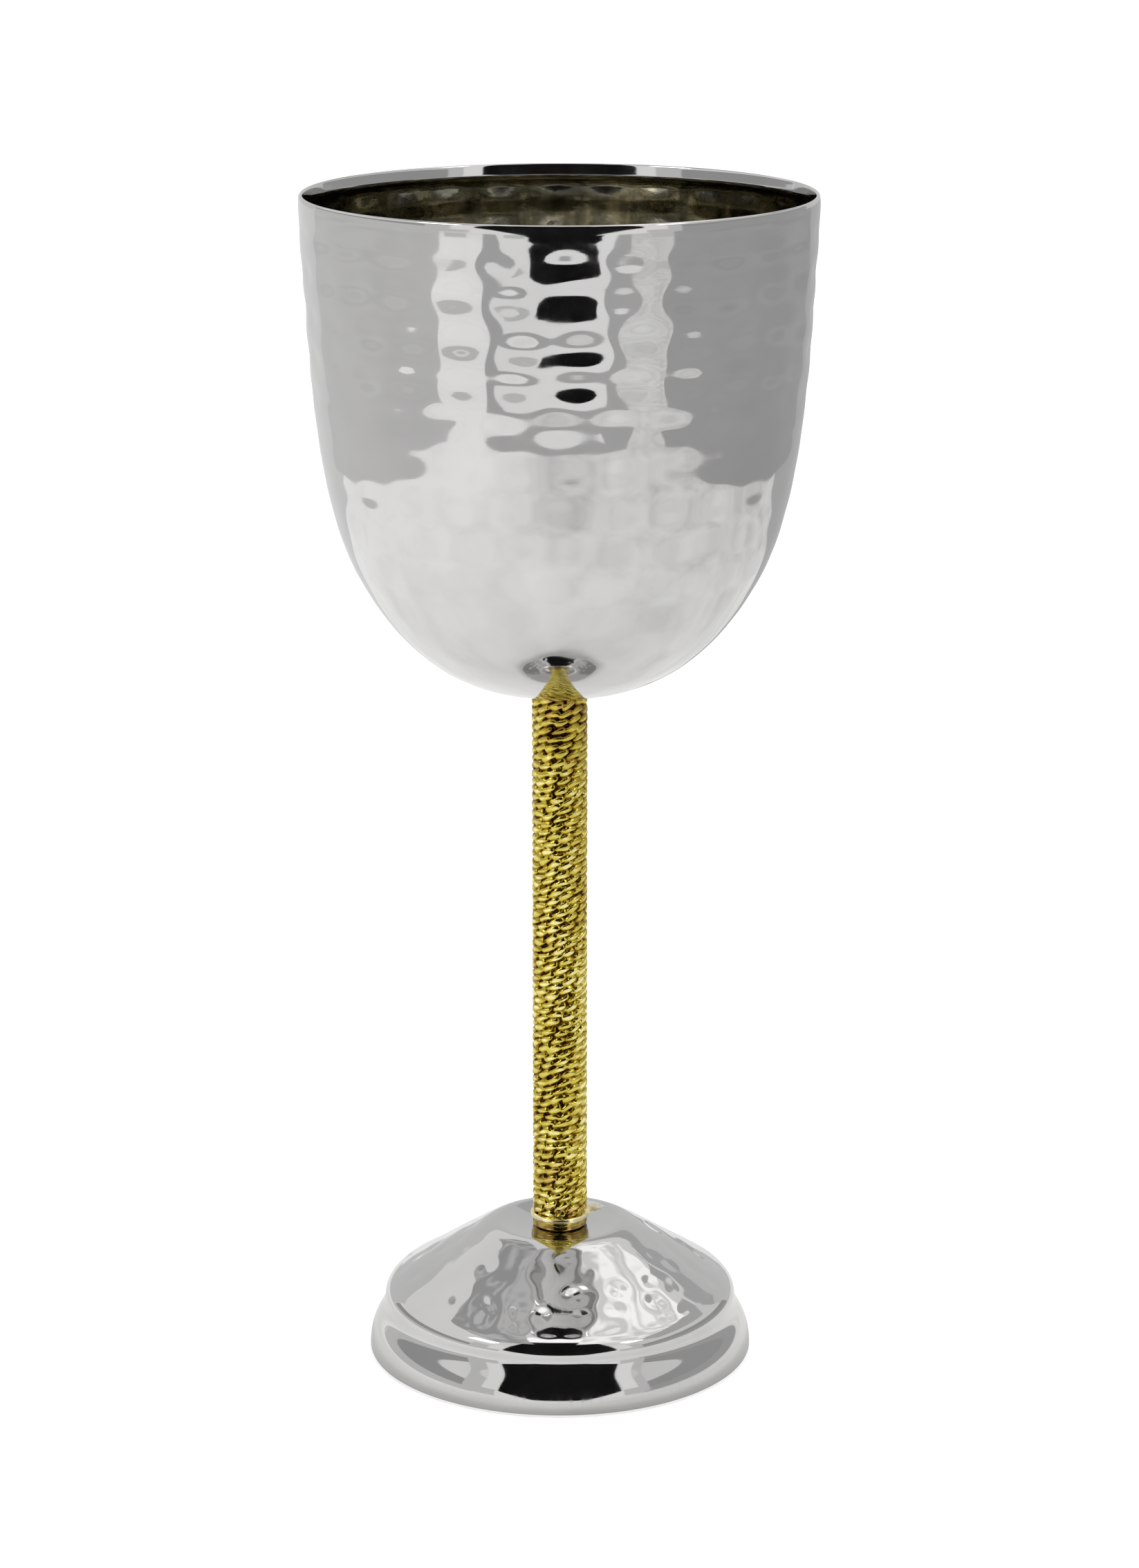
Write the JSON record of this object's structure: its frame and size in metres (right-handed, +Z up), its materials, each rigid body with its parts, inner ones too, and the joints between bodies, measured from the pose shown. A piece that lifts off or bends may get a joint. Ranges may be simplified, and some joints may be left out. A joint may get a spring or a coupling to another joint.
{
  "type": "kiddush cup",
  "caption": "Stemmed ceremonial wine cup with a deep hammered bowl, a slim rope-textured stem and a hammered, stepped foot that it stands on.",
  "frame": {"origin": "centre of the foot's underside, on the surface that the cup stands on", "axes": "+Z up along the cup's axis, from the foot to the rim; +X and +Y are level, and the turned form has no front"},
  "size_m": [0.0846, 0.0846, 0.2],
  "materials": {
    "hammered_silver": "polished",
    "rope_gold": "gloss",
    "plain_gold": "polished"
  },
  "bodies": {
    "root": {"bowl": "hammered_silver", "stem": "rope_gold", "stem_collar": "plain_gold", "foot": "hammered_silver"}
  },
  "joints": []
}
